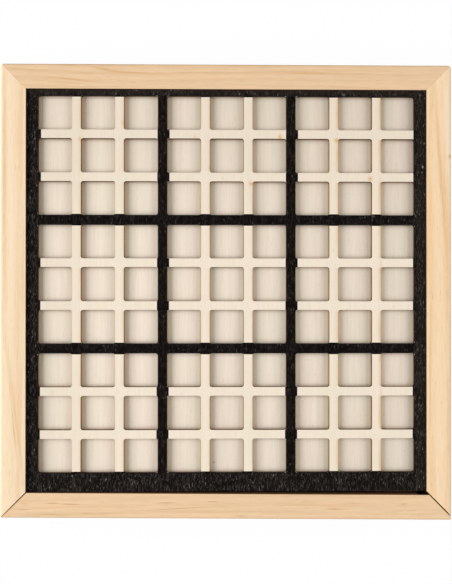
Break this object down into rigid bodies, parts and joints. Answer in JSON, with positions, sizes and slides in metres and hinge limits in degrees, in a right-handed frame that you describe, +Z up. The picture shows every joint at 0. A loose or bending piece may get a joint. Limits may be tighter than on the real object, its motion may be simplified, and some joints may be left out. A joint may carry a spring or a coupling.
{
  "type": "wooden sudoku board",
  "caption": "Flat square wooden box whose top is a grid of recessed square cells in blocks with black lines, with a shallow drawer for number tiles behind its front rail.",
  "frame": {"origin": "on the table, under the middle of the board", "axes": "+Z up out of the playing grid, +Y away from the player towards the back rail, +X to the player's right; the drawer opens along -Y"},
  "size_m": [0.2306, 0.2335, 0.028],
  "materials": {
    "pine": "sanded, unvarnished",
    "grid_plywood": "laser-cut light plywood, matt",
    "floor_plywood": "light plywood, matt",
    "base_plywood": "light plywood, matt",
    "tray_plywood": "light plywood, matt",
    "black_print": "screen print on wood"
  },
  "bodies": {
    "case": {"back_rail": "pine", "left_rail": "pine", "right_rail": "pine", "base_panel": "base_plywood", "cell_floor_board": "floor_plywood", "grid_sheet": "grid_plywood", "printed_lines": "black_print"},
    "drawer": {"drawer_front": "pine", "drawer_inner_front": "tray_plywood", "drawer_floor": "tray_plywood", "drawer_left_wall": "tray_plywood", "drawer_right_wall": "tray_plywood", "drawer_back_wall": "tray_plywood"}
  },
  "joints": [
    {"name": "drawer_slide", "type": "slide", "parent": "case", "child": "drawer", "axis": [0, -1, 0], "range_m": [0, 0.185]}
  ]
}
